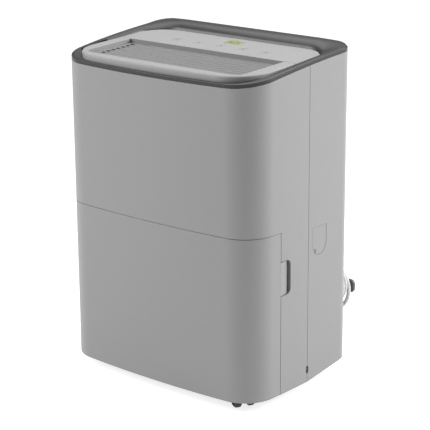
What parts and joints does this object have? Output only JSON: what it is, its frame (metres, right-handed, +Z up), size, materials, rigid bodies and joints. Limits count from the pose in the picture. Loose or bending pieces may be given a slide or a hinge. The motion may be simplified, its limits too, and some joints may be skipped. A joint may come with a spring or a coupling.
{
  "type": "dehumidifier",
  "caption": "Portable room dehumidifier: grey cabinet on swivel casters, pull-out water bucket, top air outlet, key panel, rear filter, and cord wound on rear hooks.",
  "frame": {"origin": "on the floor, below the middle of the box from the front panel to the rear cord hooks", "axes": "+Z up, +X to the right as seen from the front, the front faces -Y"},
  "size_m": [0.3808, 0.2876, 0.5281],
  "materials": {
    "cabinet_grey": "satin moulded plastic, light warm grey",
    "deck_light": "satin moulded plastic, light grey",
    "ring_dark": "satin moulded plastic, dark grey",
    "grille_grey": "satin moulded plastic, mid grey",
    "black_plastic": "fine-grained moulded plastic, black",
    "soft_rubber": "matt rubber",
    "caster_tread": "hard black nylon wheel",
    "tank_plastic": "smooth translucent white plastic",
    "inner_plastic": "plain white moulded plastic",
    "hook_grey": "satin moulded plastic, dark grey",
    "cord_white": "smooth white flexible plastic",
    "coil_fins": "thin bare aluminium fins",
    "copper_tube": "bare copper tube",
    "black_enamel": "semi-gloss black enamel",
    "bare_steel": "zinc-plated steel",
    "board_green": "printed circuit board",
    "display_window": "polished tinted window",
    "filter_mesh": "fine woven nylon mesh in a frame"
  },
  "bodies": {
    "cabinet": {"front_housing": "cabinet_grey", "rear_housing": "cabinet_grey", "deck_frame": "deck_light", "control_panel": "deck_light", "top_ring": "ring_dark", "outlet_grille": "grille_grey", "base_pan": "black_plastic", "grip_pocket_right": "black_plastic", "grip_pocket_left": "black_plastic", "float_sensor": "black_plastic", "compressor_foot_1": "soft_rubber", "compressor_foot_2": "soft_rubber", "compressor_foot_3": "soft_rubber", "chassis": "inner_plastic", "drip_tray": "inner_plastic", "electrical_box": "inner_plastic", "fan_scroll": "inner_plastic", "drain_spout": "inner_plastic", "cord_hook_right": "hook_grey", "cord_hook_left": "hook_grey", "cord_gland": "cord_white", "cord_lead": "cord_white", "cord_winding": "cord_white", "cord_tail": "cord_white", "plug": "cord_white", "evaporator": "coil_fins", "condenser": "coil_fins", "suction_pipe": "copper_tube", "discharge_pipe": "copper_tube", "compressor": "black_enamel", "side_screw_right": "black_enamel", "side_screw_left": "black_enamel", "run_capacitor": "bare_steel", "fan_motor": "bare_steel", "control_board": "board_green", "display_lens": "display_window"},
    "bucket": {"bucket": "tank_plastic", "bucket_front": "cabinet_grey", "bucket_lid": "inner_plastic"},
    "bucket_handle": {"bucket_handle": "hook_grey"},
    "float": {"float": "inner_plastic"},
    "key_1": {"key_1": "deck_light"},
    "key_2": {"key_2": "deck_light"},
    "key_3": {"key_3": "deck_light"},
    "key_4": {"key_4": "deck_light"},
    "key_5": {"key_5": "deck_light"},
    "filter": {"intake_grille": "grille_grey", "air_filter": "filter_mesh"},
    "drain_cap": {"drain_cap": "cabinet_grey"},
    "blower": {"blower_wheel": "black_plastic", "fan_shaft": "bare_steel"},
    "caster_front_right": {"caster_fork_front_right": "black_plastic"},
    "caster_front_left": {"caster_fork_front_left": "black_plastic"},
    "caster_rear_right": {"caster_fork_rear_right": "black_plastic"},
    "caster_rear_left": {"caster_fork_rear_left": "black_plastic"},
    "wheel_front_right": {"caster_wheel_front_right": "caster_tread"},
    "wheel_front_left": {"caster_wheel_front_left": "caster_tread"},
    "wheel_rear_right": {"caster_wheel_rear_right": "caster_tread"},
    "wheel_rear_left": {"caster_wheel_rear_left": "caster_tread"}
  },
  "joints": [
    {"name": "bucket_slide", "type": "slide", "parent": "cabinet", "child": "bucket", "axis": [0, -1, 0], "range_m": [0, 0.2]},
    {"name": "bucket_handle_hinge", "type": "hinge", "parent": "bucket", "child": "bucket_handle", "pos_m": [0, -0.0712, 0.2485], "axis": [-1, 0, 0], "range_deg": [0, 90]},
    {"name": "float_hinge", "type": "hinge", "parent": "bucket", "child": "float", "pos_m": [0, -0.0212, 0.222], "axis": [-1, 0, 0], "range_deg": [0, 25]},
    {"name": "key_1_press", "type": "slide", "parent": "cabinet", "child": "key_1", "axis": [0, 0.034, -0.9994], "range_m": [0, 0.001], "stiffness_N_per_m": 600},
    {"name": "key_2_press", "type": "slide", "parent": "cabinet", "child": "key_2", "axis": [0, 0.034, -0.9994], "range_m": [0, 0.001], "stiffness_N_per_m": 600},
    {"name": "key_3_press", "type": "slide", "parent": "cabinet", "child": "key_3", "axis": [0, 0.034, -0.9994], "range_m": [0, 0.001], "stiffness_N_per_m": 600},
    {"name": "key_4_press", "type": "slide", "parent": "cabinet", "child": "key_4", "axis": [0, 0.034, -0.9994], "range_m": [0, 0.001], "stiffness_N_per_m": 600},
    {"name": "key_5_press", "type": "slide", "parent": "cabinet", "child": "key_5", "axis": [0, 0.034, -0.9994], "range_m": [0, 0.001], "stiffness_N_per_m": 600},
    {"name": "filter_pull", "type": "slide", "parent": "cabinet", "child": "filter", "axis": [0, 1, 0], "range_m": [0, 0.03]},
    {"name": "drain_cap_pull", "type": "slide", "parent": "cabinet", "child": "drain_cap", "axis": [1, 0, 0], "range_m": [0, 0.02]},
    {"name": "blower_spin", "type": "hinge", "parent": "cabinet", "child": "blower", "pos_m": [0, -0.0572, 0.402], "axis": [0, 1, 0], "continuous": true},
    {"name": "caster_front_right_swivel", "type": "hinge", "parent": "cabinet", "child": "caster_front_right", "pos_m": [0.1403, -0.1008, 0.025], "axis": [0, 0, 1], "continuous": true},
    {"name": "wheel_front_right_roll", "type": "hinge", "parent": "caster_front_right", "child": "wheel_front_right", "pos_m": [0.14644, -0.10416, 0.014], "axis": [0.4794, 0.8776, 0], "continuous": true},
    {"name": "caster_front_left_swivel", "type": "hinge", "parent": "cabinet", "child": "caster_front_left", "pos_m": [-0.1403, -0.1008, 0.025], "axis": [0, 0, 1], "continuous": true},
    {"name": "wheel_front_left_roll", "type": "hinge", "parent": "caster_front_left", "child": "wheel_front_left", "pos_m": [-0.13776, -0.09428, 0.014], "axis": [-0.932, 0.3624, 0], "continuous": true},
    {"name": "caster_rear_right_swivel", "type": "hinge", "parent": "cabinet", "child": "caster_rear_right", "pos_m": [0.1403, 0.0668, 0.025], "axis": [0, 0, 1], "continuous": true},
    {"name": "wheel_rear_right_roll", "type": "hinge", "parent": "caster_rear_right", "child": "wheel_rear_right", "pos_m": [0.14644, 0.06344, 0.014], "axis": [0.4794, 0.8776, 0], "continuous": true},
    {"name": "caster_rear_left_swivel", "type": "hinge", "parent": "cabinet", "child": "caster_rear_left", "pos_m": [-0.1403, 0.0668, 0.025], "axis": [0, 0, 1], "continuous": true},
    {"name": "wheel_rear_left_roll", "type": "hinge", "parent": "caster_rear_left", "child": "wheel_rear_left", "pos_m": [-0.13385, 0.06953, 0.014], "axis": [-0.3894, 0.9211, 0], "continuous": true}
  ]
}
